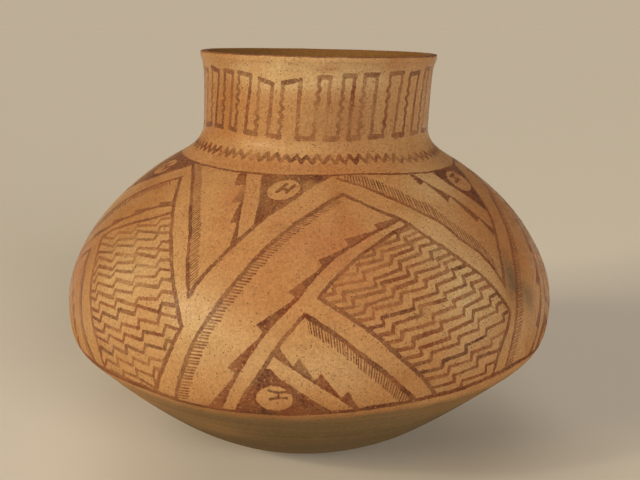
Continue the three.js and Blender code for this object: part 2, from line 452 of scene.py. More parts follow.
# A stretch of the shoulder's line that is gone over in red
redStretch = {"path": [(-66, 197.5), (-48, 197.3), (-36, 197.6), (-27, 195)], "width": 2.8,
              "wear": (0.1, 0.1), "hue": (1, 1)}


def roundPath(name):
    points = rounds[name]
    (firstAzimuth, firstAlong), (lastAzimuth, lastAlong) = points[0], points[-1]
    closed = [(lastAzimuth - fullTurn, lastAlong)] + points + [(firstAzimuth + fullTurn, firstAlong)]
    path = brushPath(closed, roundLines["spacing"])
    turned = path[:, 0] - firstAzimuth
    return path[(turned >= -roundLines["overlap"]) & (turned <= fullTurn + roundLines["overlap"])]


def roundAt(name, azimuth):
    path = roundPath(name)
    return np.interp(azimuth, path[:, 0], path[:, 1], period=fullTurn)


def drawRound(name):
    stroke(roundPath(name), roundLines[name], darkLook, roundLines["waver"])


design.append({"kind": "band"})  # keeps the units between the two lines
drawRound("shoulder")
stroke(brushPath(redStretch["path"]), redStretch["width"], redStretch)
drawRound("neck")

zigzag = {"teeth": 80, "start": -60.2, "height": 5.0, "heightSpread": (0.75, 1.15), "stray": 0.22,
          "width": 2.5, "spacing": 2, "waver": 0.1, "wear": (0.0, 0.4), "hue": (0.2, 0.7)}


# Each side of a tooth is a pull of the brush of its own
def drawZigzag():
    corners = np.arange(2 * zigzag["teeth"] + 1)
    azimuth = corners * fullTurn / (2 * zigzag["teeth"]) + zigzag["start"]
    azimuth[:-1] += chance.normal(0, zigzag["stray"], len(corners) - 1)
    side = np.where(corners % 2, 1, -1)
    height = zigzag["height"] / 2 * side * chance.uniform(*zigzag["heightSpread"], len(corners))
    path = np.stack([azimuth, roundAt("zigzag", azimuth) + height], axis=1)
    for first, last in zip(path, path[1:]):
        stroke(brushPath([first, last], zigzag["spacing"]), zigzag["width"], zigzag, zigzag["waver"])


drawZigzag()

# Frets on the neck: one unbroken line, up a wavy leg, across, down a plain leg and on to the next.
# Each one gives the wavy leg's top and foot, the bar's two heights, the plain leg's top and foot, and how
# high its feet are. The bar, the plain leg and the foot have their own share of the width, and waver.
frets = {
    "seen": [
        (-61.5, -62, 412, 410, -54.5, -57.5, 375.5), (-49.5, -51, 411, 410.5, -43.5, -45.5, 375.5),
        (-39.5, -41.5, 410.5, 409, -32.5, -35.5, 374.5), (-28, -29.5, 407.5, 404.5, -21.5, -23.3, 373.7),
        (-16.5, -17.5, 405.5, 407.5, -8.5, -9.5, 372.5), (0, -1.7, 409.5, 409.5, 4.8, 3.2, 372.5),
        (11, 9, 410.5, 410.5, 15.7, 14, 372.5), (20.5, 19, 411, 411, 26.7, 25, 373),
        (34, 31.7, 411.6, 412, 41.3, 38, 373.3), (47, 44.5, 411, 411.5, 54.2, 51, 373),
        (61, 57.7, 413.5, 413.5, 66, 63, 373),
    ],
    "others": 19, "otherTop": 410.5, "otherFoot": 373.5, "plainLean": -2.2, "wavyLean": -1.5,
    "legGap": (4.8, 7.2), "wavyStray": 0.8, "topStray": 1.0, "footStray": 0.7, "barStray": 0.8,
    "width": 2.25, "waver": 0.08, "pulls": [(1.4, 0.1), (1.1, 0.12), (1.45, 0.1)],
    "wear": (0.0, 0.38), "hue": (0.3, 0.75),
}
wavyLine = {"points": 38, "teeth": 6, "depth": 0.78, "start": (0, 3), "least": 0.75, "change": 0.4,
            "changeSpeed": 8, "changeStart": (0, 6), "footShift": 0.06, "endPower": 0.4}


def allFrets():
    every = list(frets["seen"])
    start, end = every[-1][0], every[0][0] + fullTurn
    pitch = (end - start) / (frets["others"] + 1)
    for i in range(1, frets["others"] + 1):
        wavy = start + pitch * i + chance.normal(0, frets["wavyStray"])
        plain = wavy + drawn(frets["legGap"])
        top = frets["otherTop"] + chance.normal(0, frets["topStray"])
        foot = frets["otherFoot"] + chance.normal(0, frets["footStray"])
        barEnd = top + chance.normal(0, frets["barStray"])
        every.append((wavy, wavy + frets["wavyLean"], top, barEnd, plain, plain + frets["plainLean"], foot))
    return every


# A wavy leg is a sine across a slanting line; a slower sine changes its depth, and it dies out at both ends
def wavyLeg(top, foot, topAlong, footAlong):
    t = np.linspace(0, 1, wavyLine["points"])
    teeth = wavyLine["depth"] * np.sin(2 * math.pi * wavyLine["teeth"] * t + drawn(wavyLine["start"]))
    slower = np.sin(wavyLine["changeSpeed"] * t + drawn(wavyLine["changeStart"]))
    ends = np.sin(math.pi * np.clip(t + wavyLine["footShift"], 0, 1)) ** wavyLine["endPower"]
    teeth = teeth * (wavyLine["least"] + wavyLine["change"] * slower) * ends
    return np.stack([foot + (top - foot) * t + teeth, footAlong + (topAlong - footAlong) * t], axis=1)


def drawFrets():
    every = allFrets()
    for i, (wavyTop, wavyFoot, barStart, barEnd, plainTop, plainFoot, footAlong) in enumerate(every):
        following = every[(i + 1) % len(every)]
        nextFoot = following[1] + (fullTurn if i + 1 == len(every) else 0)
        corners = [(wavyTop, barStart), (plainTop, barEnd), (plainFoot, footAlong), (nextFoot, following[-1])]
        stroke(wavyLeg(wavyTop, wavyFoot, barStart, footAlong), frets["width"], frets, frets["waver"])
        for first, last, (share, waver) in zip(corners, corners[1:], frets["pulls"]):
            stroke(brushPath([first, last]), frets["width"] * share, frets, waver)


drawFrets()
print("design drawn,", len(design), "marks")

# Laying the marks on a ring: signed distance to the edge of the paint, in millimetres, negative inside,
# with the wear and hue of the mark that lies there
farAway = 3.0
markMargin = 2.0
blank = {"paint": farAway, "wear": 0.0, "hue": 0.0, "hatch": 0.0, "hatchCut": farAway}


def newCanvas(azimuth, along):
    shape = (len(along), len(azimuth))
    layers = {name: np.full(shape, value) for name, value in blank.items()}
    return {"azimuth": azimuth, "along": along, **layers}


# The rows and columns of a canvas that a mark can reach, with their places unrolled about the mark
def reachOf(canvas, low, high, margin):
    along, step = canvas["along"], fullTurn / len(canvas["azimuth"])
    side = margin * degreesPer((low[1] + high[1]) / 2)
    rows = np.arange(*np.searchsorted(along, (low[1] - margin, high[1] + margin)))
    columns = np.arange(math.floor((low[0] - side) / step), math.ceil((high[0] + side) / step) + 1)
    cells = np.ix_(rows, columns % len(canvas["azimuth"]))
    return cells, columns * step, along[rows]


def mergeMark(canvas, cells, distance, mark):
    closer = distance < canvas["paint"][cells]
    canvas["paint"][cells] = np.where(closer, distance, canvas["paint"][cells])
    for name in ("wear", "hue"):
        canvas[name][cells] = np.where(closer, mark[name], canvas[name][cells])


# The share along a straight piece at which it comes nearest to each place, and the distance there
def nearestOn(x, y, runX, runY):
    t = np.clip((x * runX + y * runY) / max(runX ** 2 + runY ** 2, tiny), 0, 1)
    return t, np.hypot(x - t * runX, y - t * runY)


# Distance to a straight piece of a stroke, less its half width, which changes evenly along it
def laySegment(canvas, mark, start, end, half):
    margin = max(half) + markMargin
    cells, azimuth, along = reachOf(canvas, np.minimum(start, end), np.maximum(start, end), margin)
    if not cells[0].size:
        return
    scale = 1 / degreesPer((start[1] + end[1]) / 2)
    x, y = (azimuth[None, :] - start[0]) * scale, along[:, None] - start[1]
    t, distance = nearestOn(x, y, (end[0] - start[0]) * scale, end[1] - start[1])
    mergeMark(canvas, cells, distance - (half[0] + t * (half[1] - half[0])), mark)


def layStroke(canvas, mark):
    path, half = mark["path"], mark["half"]
    for i in range(len(path) - 1):
        laySegment(canvas, mark, path[i], path[i + 1], (half[i], half[i + 1]))


# Signed distance to a closed outline: that to its nearest edge, negative where a ray crosses the outline
# an odd number of times
def outlineDistance(outline, azimuth, along):
    scale = 1 / degreesPer(outline[:, 1].mean())
    nearest = np.full((len(along), len(azimuth)), np.inf)
    inside = np.zeros(nearest.shape, bool)
    for start, end in zip(outline, np.roll(outline, -1, axis=0)):
        x, y = azimuth[None, :] * scale - start[0] * scale, along[:, None] - start[1]
        runX, runY = (end[0] - start[0]) * scale, end[1] - start[1]
        nearest = np.minimum(nearest, nearestOn(x, y, runX, runY)[1])
        crosses = (start[1] > along[:, None]) != (end[1] > along[:, None])
        safeRun = runY if abs(runY) > tiny else tiny
        inside ^= crosses & (x < y / safeRun * runX)
    return np.where(inside, -nearest, nearest)


def layFill(canvas, mark):
    outline = mark["outline"]
    cells, azimuth, along = reachOf(canvas, outline.min(axis=0), outline.max(axis=0), markMargin)
    if cells[0].size:
        mergeMark(canvas, cells, outlineDistance(outline, azimuth, along), mark)


def layField(canvas, mark):
    outline = mark["outline"]
    cells, azimuth, along = reachOf(canvas, outline.min(axis=0), outline.max(axis=0), markMargin)
    if not cells[0].size:
        return
    lines = newCanvas(canvas["azimuth"], canvas["along"])
    for line in mark["marks"]:
        layStroke(lines, line)
    kept = np.maximum(lines["paint"][cells], outlineDistance(outline, azimuth, along))
    mergeMark(canvas, cells, kept, {name: lines[name][cells] for name in ("wear", "hue")})


# A bare oval, its edge measured by the ellipse's own ratio
def layOval(canvas, mark):
    centre, wide, high = np.array(mark["centre"], float), mark["wide"], mark["high"]
    longest = max(wide, high)
    reach = np.array([longest * degreesPer(centre[1]), longest])
    cells, azimuth, along = reachOf(canvas, centre - reach, centre + reach, markMargin)
    if cells[0].size:
        x = (azimuth[None, :] - centre[0]) / degreesPer(centre[1])
        y = along[:, None] - centre[1]
        lengthwise, crosswise = heading(mark["tilt"]), heading(mark["tilt"] + upright)
        longShare = (x * lengthwise[0] + y * lengthwise[1]) / wide
        shortShare = (x * crosswise[0] + y * crosswise[1]) / high
        bare = (1 - np.hypot(longShare, shortShare)) * min(wide, high)
        canvas["paint"][cells] = np.maximum(canvas["paint"][cells], bare)


# Numbers the places in a hatched strip by the mark they fall on, and gives their distance outside the strip.
# A place is a step along one straight piece of the root line plus a share of the marks' reach.
def layHatch(canvas, mark):
    path = mark["path"]
    scale = np.array([1 / degreesPer(path[:, 1].mean()), 1.0])
    reaches = np.linspace(mark["reach"], mark["lastReach"], len(path))
    both = np.vstack([path, path + reaches / scale])
    cells, azimuth, along = reachOf(canvas, both.min(axis=0), both.max(axis=0), markMargin)
    if not cells[0].size:
        return
    root = path * scale
    lengths = pieceLengths(root)
    befores = np.cumsum(lengths) - lengths
    total = lengths.sum()
    cut = np.full((len(along), len(azimuth)), farAway)
    place = np.zeros(cut.shape)
    for first, last, before, length, reach in zip(root, root[1:], befores, lengths, reaches):
        run = last - first
        x, y = azimuth[None, :] * scale[0] - first[0], along[:, None] - first[1]
        turned = run[0] * reach[1] - run[1] * reach[0]
        step = (x * reach[1] - y * reach[0]) / turned
        share = (run[0] * y - run[1] * x) / turned
        here = before + step * length
        beyond = np.maximum(mark["start"] * total - here, here - mark["end"] * total)
        outside = np.maximum(np.maximum(-share, share - 1) * np.linalg.norm(reach), beyond)
        closer = (step >= 0) & (step <= 1) & (outside < cut)
        cut = np.where(closer, outside, cut)
        place = np.where(closer, here, place)
    closer = cut < canvas["hatchCut"][cells]
    canvas["hatchCut"][cells] = np.where(closer, cut, canvas["hatchCut"][cells])
    canvas["hatch"][cells] = np.where(closer, place / mark["spacing"] + mark["first"], canvas["hatch"][cells])


def layBand(canvas, mark):
    along = canvas["along"][:, None]
    below = roundAt("shoulder", canvas["azimuth"])[None, :] - along
    above = along - roundAt("neck", canvas["azimuth"])[None, :]
    for name in ("paint", "hatchCut"):
        canvas[name] = np.maximum(canvas[name], np.maximum(below, above))


layWays = {"stroke": layStroke, "fill": layFill, "field": layField, "oval": layOval, "band": layBand,
           "hatch": layHatch}


def paintedCanvas(azimuth, along):
    canvas = newCanvas(azimuth, along)
    for mark in design:
        layWays[mark["kind"]](canvas, mark)
    return canvas


# Stains in the fired clay, with painted light and shade among them: soft round patches by azimuth and
# distance along, with two reaches and a strength
stainsAndPaintedLight = {
    # warm: orange stains; the patches at the left and right sides are partly painted warm side light and
    # painted shade
    "warm": [(6.5, 326, 3.5, 12, 0.45), (8, 308, 3.0, 12, 0.5), (-56, 300, 14, 30, 0.6),
             (-48, 390, 14, 30, 0.75), (-78, 260, 14, 50, 0.55), (80, 250, 14, 60, 0.7),
             (3, 414.5, 7, 2.5, 0.6), (100, 250, 18, 40, 0.4), (170, 310, 9, 30, 0.5),
             (240, 230, 20, 30, 0.4), (24, 318, 2.2, 2.2, 0.6)],
    "rosy": [(11, 264, 8, 18, 0.7), (4, 300, 16, 26, 0.75), (-24, 322, 6, 26, 0.6),
             (-10, 268, 9, 22, 0.5), (14, 385, 12, 18, 0.5), (34, 415, 6, 5, 0.7), (0, 352, 40, 6, 0.5),
             (60, 290, 12, 40, 0.5), (130, 220, 14, 26, 0.5), (205, 280, 16, 34, 0.5),
             (290, 245, 12, 24, 0.5), (160, 360, 30, 10, 0.5)],
    "smoke": [(50, 262, 3.2, 16, 0.8), (48, 250, 2.6, 9, 0.5), (54, 241, 3, 10, 0.75),
              (155, 240, 9, 26, 0.8), (160, 275, 6, 18, 0.5), (262, 330, 8, 14, 0.5),
              (110, 395, 8, 16, 0.35), (8, 385, 24, 20, 0.25)],
    "rubbed": [(-2, 338, 4, 4, 0.4), (-11, 328, 10, 16, 0.22), (1, 383, 4, 12, 0.8),
               (13, 382, 5, 11, 0.55), (23, 384, 3, 12, 0.5), (-24.5, 327, 2.5, 9, 0.45),
               (-84, 328, 9, 16, 0.5), (-46, 272, 16, 44, 0.18), (-10, 386, 50, 30, 0.12),
               (9, 271, 6, 12, 0.45), (-50, 274, 8, 14, 0.22), (-40, 262, 6, 10, 0.35),
               (-32, 361, 5, 6, 0.5), (40, 358, 10, 6, 0.65), (110, 380, 12, 14, 0.5),
               (150, 270, 10, 20, 0.45), (225, 300, 12, 20, 0.4)],
    "wash": [(-62, 172, 26, 34, 1.0), (62, 182, 30, 24, 0.5), (0, 194, 400, 22, 0.3),
             (-24, 150, 10, 12, 0.5), (150, 175, 40, 25, 0.8), (235, 165, 30, 30, 0.8)],
    # pale: paler slip; the patches on the body's left front and high on the neck are partly painted highlight
    "pale": [(-24, 246, 7, 22, 0.5), (-14, 228, 9, 22, 0.6), (4, 222, 9, 14, 0.5),
             (-20, 411, 28, 10, 1.4), (24, 411, 20, 10, 0.9), (0, 388, 60, 26, 0.3),
             (-20, 366, 30, 6, 0.4), (33, 258, 11, 32, 1.0), (44, 330, 10, 16, 0.7),
             (28, 296, 10, 16, 0.5), (120, 300, 16, 30, 0.7), (190, 235, 14, 22, 0.7),
             (275, 290, 16, 34, 0.7), (-45, 262, 14, 36, 0.75)],
}


# A patch falls off as the exponential of minus the square of each distance over its reach
def patchField(name, azimuth, along):
    total = np.zeros((len(along), len(azimuth)))
    for midAzimuth, midAlong, wide, high, strength in stainsAndPaintedLight[name]:
        away = (azimuth[None, :] - midAzimuth + fullTurn / 2) % fullTurn - fullTurn / 2
        total += strength * np.exp(-(away / wide) ** 2 - ((along[:, None] - midAlong) / high) ** 2)
    return np.clip(total, 0, 1)


# Hand-shaping: slow swells of the wall, worked out from a few waves round and up it, as a share from 0 to 1
swells = {"count": 14, "around": (2, 13), "up": (0.02, 0.11), "size": (0.4, 1), "fullShare": 0.55,
          "outerDepth": 0.7, "innerDepth": 0.9, "innerShift": 0.7, "flatUntil": 58, "flatEase": 40,
          "lipFrom": 392, "lipDrop": 1.1, "lipSwell": 0.3, "lipBack": 0.5}
swellRound = chance.integers(*swells["around"], swells["count"])
swellUp = chance.uniform(*swells["up"], swells["count"]) * chance.choice([-1, 1], swells["count"])
swellPhase = chance.uniform(0, 2 * math.pi, swells["count"])
swellSize = chance.uniform(*swells["size"], swells["count"])


def swellField(azimuth, along, shift=0.0):
    turn = np.radians(azimuth)[None, :]
    rise = along[:, None]
    total = np.zeros((len(along), len(azimuth)))
    for around, up, phase, size in zip(swellRound, swellUp, swellPhase, swellSize):
        total += size * np.sin(around * turn + up * rise + phase * (1 + shift))
    return np.clip(0.5 + 0.5 * total / (swells["fullShare"] * swellSize.sum()), 0, 1)


# From 0 to 1 by three times the square less twice the cube, which starts and ends level
def easeIn(values, start, over):
    t = np.clip((values - start) / over, 0, 1)
    return t * t * (3 - 2 * t)


# Grows from nothing on the neck to one at the lip
def towardsLip(along):
    return easeIn(along, swells["lipFrom"], profileLength - swells["lipFrom"])


# How far a face is pressed by hand: its swells, dying out at the flat and at the lip
def pressOf(azimuth, along, depth, shift=0.0):
    kept = easeIn(along, swells["flatUntil"], swells["flatEase"]) * (1 - towardsLip(along))
    return depth * swellField(azimuth, along, shift) * kept[:, None]


# How far the lip drops by azimuth: its swells, and the square of the cosine on the far side
def lipDrop(azimuth):
    behind = np.maximum(-np.cos(np.radians(azimuth)), 0)[None, :]
    swell = swellField(azimuth, np.array([profileLength]))
    return swells["lipDrop"] * (swells["lipSwell"] * swell + swells["lipBack"] * behind ** 2)


# Meshes: a ring is its cross-section carried round the axis

sharpFrom = 40  # degrees between faces


# A cross-section by row and column: outer face pressed in, lip as it is, inner face pressed out
def pressedSection(azimuth, outerAlong, lipPoints, innerAlong):
    section = np.vstack([outerFace(outerAlong), lipPoints, innerFace(innerAlong)])
    inward = np.vstack([inwardAt(outerAlong), 0 * lipPoints, inwardAt(innerAlong)])
    outerPress = pressOf(azimuth, outerAlong, swells["outerDepth"])
    innerPress = pressOf(azimuth, innerAlong, swells["innerDepth"], swells["innerShift"])
    press = np.vstack([outerPress, np.zeros((len(lipPoints), len(azimuth))), -innerPress])
    return section, section[:, :1] + press * inward[:, :1], section[:, 1:] + press * inward[:, 1:]


# Carries a cross-section round: x and y are its radius times the sine and minus the cosine of the azimuth.
# The lean moves x in proportion to the height above the widest circle, and the dip goes by height times x.
def carriedRound(radius, height, azimuth):
    turn = np.radians(azimuth)[None, :]
    x, y = radius * np.sin(turn), -radius * np.cos(turn)
    leaned = x + jar["lean"] * (height - bellyHeight) / (lipHeight - bellyHeight)
    dipped = height - jar["dip"] * (height / lipHeight) * (x / lipRadius)
    return np.stack([leaned, y, dipped], axis=-1) * mm


# Quads between neighbouring rows and columns; columns always close, rows close for a ring
def gridQuads(rows, columns, closed):
    i = np.arange(rows if closed else rows - 1)[:, None]
    j = np.arange(columns)[None, :]
    above, beside = (i + 1) % rows, (j + 1) % columns
    corners = [i * columns + j, i * columns + beside, above * columns + beside, above * columns + j]
    return np.stack([np.broadcast_to(c, (len(i), columns)) for c in corners], axis=-1).reshape(-1, 4)


# Fans that close the first and the last row on a point of the axis
def poleFans(rows, columns):
    j = np.arange(columns)
    beside = (j + 1) % columns
    firstPole, lastPole = rows * columns, rows * columns + 1
    last = (rows - 1) * columns
    low = np.stack([np.full(columns, firstPole), beside, j], axis=1)
    high = np.stack([last + j, last + beside, np.full(columns, lastPole)], axis=1)
    return np.vstack([low, high])


def meshOf(name, points, quads, triangles=None):
    triangles = np.zeros((0, 3), int) if triangles is None else triangles
    corners = np.concatenate([quads.ravel(), triangles.ravel()])
    sizes = np.concatenate([np.full(len(quads), 4), np.full(len(triangles), 3)])
    mesh = bpy.data.meshes.new(name)
    mesh.vertices.add(len(points))
    mesh.vertices.foreach_set("co", points.astype(np.float32).ravel())
    mesh.loops.add(len(corners))
    mesh.loops.foreach_set("vertex_index", corners.astype(np.int32))
    mesh.polygons.add(len(sizes))
    mesh.polygons.foreach_set("loop_start", runningTotal(sizes)[:-1].astype(np.int32))
    mesh.update(calc_edges=True)
    mesh.polygons.foreach_set("use_smooth", np.ones(len(sizes), bool))
    mesh.set_sharp_from_angle(angle=math.radians(sharpFrom))
    return mesh


def setValues(mesh, name, values):
    mesh.attributes.new(name, "FLOAT", "POINT").data.foreach_set("value", values.astype(np.float32).ravel())


finishMap = {"gap": 0.06, "edge": 0.005}  # what stays free between lengths, and at the sides of the square


# Map for finishes: the ring is cut into equal lengths that lie one above another in the square,
# with the outer face at full height and the hidden faces pressed flatter
def setFinishMap(mesh, rowPlace, columns, pieces):
    across = columns // pieces
    length, inLength = np.divmod(np.arange(columns), across)
    gap = finishMap["gap"]
    up = (length + gap / 2)[None, :] + (rowPlace / rowPlace[-1])[:, None] * (1 - gap)
    low, high = up[:-1], up[1:]
    ends = [finishMap["edge"] + (1 - 2 * finishMap["edge"]) * (inLength + end) / across for end in (0, 1)]
    left, right = [np.broadcast_to(end[None, :], low.shape) for end in ends]
    u = np.stack([left, right, right, left], axis=-1)
    v = np.stack([low, low, high, high], axis=-1) / pieces
    places = np.stack([u, v], axis=-1).astype(np.float32)
    mesh.uv_layers.new(name="OFBake").data.foreach_set("uv", places.ravel())


grain = {"rowStep": 0.66, "bareRowStep": 1.6, "innerStep": 3.0, "lipSteps": 14, "baseStep": 1.6,
         "leastRows": 3, "hiddenShare": 0.3}
paintedFrom = 176  # distance along from where slip and paint can show


def rowsBetween(start, end, step):
    return np.linspace(start, end, max(grain["leastRows"], round(abs(end - start) / step) + 1))


# One ring: outer face up, over the lip at the top, inner face down; the seams close the loop
def ringPiece(name, start, end, columns, pieces, isRim):
    azimuth = np.arange(columns) * fullTurn / columns
    outerAlong = rowsBetween(start, end, grain["rowStep"] if end > paintedFrom else grain["bareRowStep"])
    innerEnd = end if isRim else end + jar["scarfRise"]
    innerAlong = rowsBetween(innerEnd, start + jar["scarfRise"], grain["innerStep"])
    lipPoints, lipAlong = np.zeros((0, 2)), np.zeros(0)
    if isRim:
        lipPoints = lipRound(grain["lipSteps"])
        overLip = np.linspace(0, math.pi * jar["lipWall"] / 2, grain["lipSteps"] + 1)
        lipAlong = profileLength + overLip[1:-1]
    section, radius, height = pressedSection(azimuth, outerAlong, lipPoints, innerAlong)
    along = np.concatenate([outerAlong, lipAlong, innerAlong])
    height = height - lipDrop(azimuth) * towardsLip(along)[:, None]

    points = carriedRound(radius, height, azimuth).reshape(-1, 3)
    mesh = meshOf(name, points, gridQuads(len(section), columns, True))
    setRingFinish(mesh, azimuth, outerAlong, lipAlong, innerAlong)
    shown = np.arange(len(section)) < len(outerAlong) + len(lipAlong) - 1
    loop = pieceLengths(np.vstack([section, section[:1]]))
    setFinishMap(mesh, runningTotal(loop * np.where(shown, 1, grain["hiddenShare"])), columns, pieces)
    return mesh


lipPaint = {"middle": 422.4, "half": 2.3, "wear": 0.1, "hue": 0.5}
slipEdge = {"below": 1, "fade": 13}


# Paint, wear, hue, slip, and stains with painted light and shade among them, at every point of a ring; the
# inner face has none but its own mark
def setRingFinish(mesh, azimuth, outerAlong, lipAlong, innerAlong):
    columns = len(azimuth)
    overLip = np.concatenate([outerAlong, lipAlong])
    canvas = newCanvas(azimuth, overLip)
    if overLip[-1] > paintedFrom:
        canvas = paintedCanvas(azimuth, overLip)
    inside = np.concatenate([np.zeros(len(overLip)), np.ones(len(innerAlong))])
    if len(lipAlong):
        downInside = lipAlong[-1] + (innerAlong[0] - innerAlong)
        lipRows = np.concatenate([overLip, downInside])
        inside = easeIn(lipRows, lipPaint["middle"], 2 * lipPaint["half"])
    values = {}
    for name, value in blank.items():
        values[name] = np.vstack([canvas[name], np.full((len(innerAlong), columns), value)])
    if len(lipAlong):
        edge = np.abs(lipRows - lipPaint["middle"])[:, None] - lipPaint["half"] + 0 * azimuth[None, :]
        onLip = edge < values["paint"]
        for name, value in (("paint", edge), ("wear", lipPaint["wear"]), ("hue", lipPaint["hue"])):
            values[name] = np.where(onLip, value, values[name])
    slipFrom = roundAt("shoulder", azimuth)[None, :] - slipEdge["below"]
    slip = easeIn(overLip[:, None] - slipFrom, -slipEdge["fade"], slipEdge["fade"])
    values["slip"] = np.vstack([slip, np.ones((len(innerAlong), columns))])
    values["inside"] = np.repeat(inside[:, None], columns, axis=1)
    for name in stainsAndPaintedLight:
        values[name] = np.vstack([patchField(name, azimuth, overLip), np.zeros((len(innerAlong), columns))])
    for name, field in values.items():
        setValues(mesh, name, field)


# The moulded base: outer face up from the axis, inner face back down to it, closed by a fan at each end
def basePiece(name, end, columns):
    azimuth = np.arange(columns) * fullTurn / columns
    rows = round(end / grain["baseStep"])
    outerAlong = np.arange(1, rows + 1) * end / rows
    innerEnd = end + jar["scarfRise"]
    innerAlong = np.linspace(innerEnd, grain["innerStep"], round(innerEnd / grain["innerStep"]))
    section, radius, height = pressedSection(azimuth, outerAlong, np.zeros((0, 2)), innerAlong)
    points = carriedRound(radius, height, azimuth).reshape(-1, 3)
    poles = carriedRound(np.zeros((2, 1)), np.array([[0], [jar["wall"]]]), np.zeros(1)).reshape(-1, 3)
    quads = gridQuads(len(section), columns, False)
    mesh = meshOf(name, np.vstack([points, poles]), quads, poleFans(len(section), columns))
    inside = np.concatenate([np.repeat(np.arange(len(section)) >= len(outerAlong), columns), [0, 1]])
    setValues(mesh, "inside", inside)
    setValues(mesh, "slip", inside)
    return mesh


# Materials

def addNode(tree, kind, inputs=None, **settings):
    node = tree.nodes.new(kind)
    for name, value in settings.items():
        setattr(node, name, value)
    for name, value in (inputs or {}).items():
        if isinstance(value, bpy.types.NodeSocket):
            tree.links.new(value, node.inputs[name])
        else:
            node.inputs[name].default_value = value
    return node


def attribute(tree, name):
    return addNode(tree, "ShaderNodeAttribute", attribute_name=name).outputs["Fac"]


def maths(tree, operation, a, b=0.0, clamp=False):
    return addNode(tree, "ShaderNodeMath", {0: a, 1: b}, operation=operation, use_clamp=clamp).outputs[0]


def times(tree, a, b):
    return maths(tree, "MULTIPLY", a, b)


def plus(tree, a, b, clamp=False):
    return maths(tree, "ADD", a, b, clamp)


def minus(tree, a, b):
    return maths(tree, "SUBTRACT", a, b)


def most(tree, a, b):
    return maths(tree, "MAXIMUM", a, b)


def spread(tree, value, low, high, toLow=0.0, toHigh=1.0):
    inputs = {"Value": value, "From Min": low, "From Max": high, "To Min": toLow, "To Max": toHigh}
    return addNode(tree, "ShaderNodeMapRange", inputs, interpolation_type="SMOOTHSTEP").outputs[0]


def mixed(tree, share, a, b, blend="MIX"):
    inputs = {0: share, 6: a, 7: b}
    return addNode(tree, "ShaderNodeMix", inputs, data_type="RGBA", blend_type=blend).outputs[2]


# Mottling by name: how fine it is, and which part of the noise is spread over which effect
mottles = {
    "patches": {"scale": 14, "seen": (0.45, 0.7), "effect": (0, 0.7)},
    "broad": {"scale": 11, "seen": (0.36, 0.66)},
    "middle": {"scale": 55, "detail": 4, "seen": (0.5, 0.8), "effect": (0, 0.55)},
    "small": {"scale": 230, "seen": (0.5, 0.8), "effect": (0, 0.45)},
    "paintEdge": {"scale": 480, "detail": 2, "seen": (0.2, 0.8), "effect": (-0.3, 0.3)},
    "paintGrain": {"scale": 620, "roughness": 0.7, "seen": (0.34, 0.58), "effect": (0.72, 1)},
    "thin": {"scale": 90, "seen": (0.32, 0.7), "effect": (0.2, -0.05)},
    "rubbed": {"scale": 70, "detail": 4, "seen": (0.3, 0.65), "effect": (0.35, 1)},
    "hueDrift": {"scale": 60, "seen": (0.3, 0.7), "effect": (-0.35, 0.35)},
    "slipEdge": {"scale": 90, "seen": (0.3, 0.7), "effect": (-0.2, 0.2)},
    "crowd": {"scale": 16, "seen": (0.35, 0.7), "effect": (0.18, 0.62)},
    "gloss": {"scale": 120, "seen": (0.3, 0.7), "effect": (0.22, 0.42)},
}
# The value of the noise from which on it breaks up each kind of patch, stain and painted light alike
patchFrom = {"pale": 0.05, "warm": 0.3, "rosy": 0.25, "smoke": 0.2}
for name, low in patchFrom.items():
    mottles[name] = {"scale": 38, "detail": 4, "seen": (low, 0.75), "effect": (0.35, 1)}
spots = {
    "fleck": {"scale": 560, "share": 0.36, "size": 0.29},
    "fine": {"scale": 780, "size": 0.27},
    "coarse": {"scale": 260, "share": 0.1, "size": 0.12},
}
spotEdge = {"least": 0.6, "core": 0.4}  # the least size of a dot, and the share of it that is full


def noise(tree, place, scale, detail=3.0, roughness=0.55):
    inputs = {"Vector": place, "Scale": scale, "Detail": detail, "Roughness": roughness}
    return addNode(tree, "ShaderNodeTexNoise", inputs).outputs["Fac"]


def mottle(tree, place, name):
    settings = dict(mottles[name])
    seen, effect = settings.pop("seen"), settings.pop("effect", (0.0, 1.0))
    return spread(tree, noise(tree, place, **settings), *seen, *effect)


# Small grains: a share of the cells of a cell pattern, each shown as a dot of its own size
def specks(tree, place, scale, share, size):
    cells = addNode(tree, "ShaderNodeTexVoronoi", {"Vector": place, "Scale": scale})
    pick = addNode(tree, "ShaderNodeSeparateColor", {"Color": cells.outputs["Color"]})
    chosen = maths(tree, "LESS_THAN", pick.outputs[0], share)
    reach = times(tree, plus(tree, pick.outputs[1], spotEdge["least"]), size)
    dot = spread(tree, cells.outputs["Distance"], reach, times(tree, reach, spotEdge["core"]))
    return times(tree, chosen, dot)


# The bare colours hold painted shade on the lower bowl; the warm colour is partly painted side light and
# shade, and the pale colour is partly painted highlight
clay = {
    "buff": (0.378, 0.169, 0.058, 1), "paleBuff": (0.425, 0.226, 0.091, 1),
    "deepBuff": (0.30, 0.115, 0.034, 1), "pale": (0.53, 0.368, 0.188, 1),
    "bare": (0.174, 0.111, 0.0455, 1), "bareDarkShaded": (0.138, 0.090, 0.0375, 1),
    "bareGreyShaded": (0.154, 0.108, 0.053, 1), "wash": (0.45, 0.238, 0.088, 1),
    "inside": (0.172, 0.082, 0.024, 1), "warm": (0.28, 0.088, 0.013, 1), "rosy": (0.36, 0.124, 0.048, 1),
    "smoke": (0.105, 0.074, 0.042, 1), "speck": (0.065, 0.036, 0.024, 1), "fleck": (0.42, 0.20, 0.08, 1),
    "umber": (0.082, 0.0240, 0.0135, 1), "redBrown": (0.190, 0.048, 0.0185, 1),
}
scraping = {"stretch": (4, 4, 200), "scale": 1.3, "detail": 4.0, "tone": (0.36, 0.64),
            "wash": (0.3, 0.7, 0.6, 1.0)}
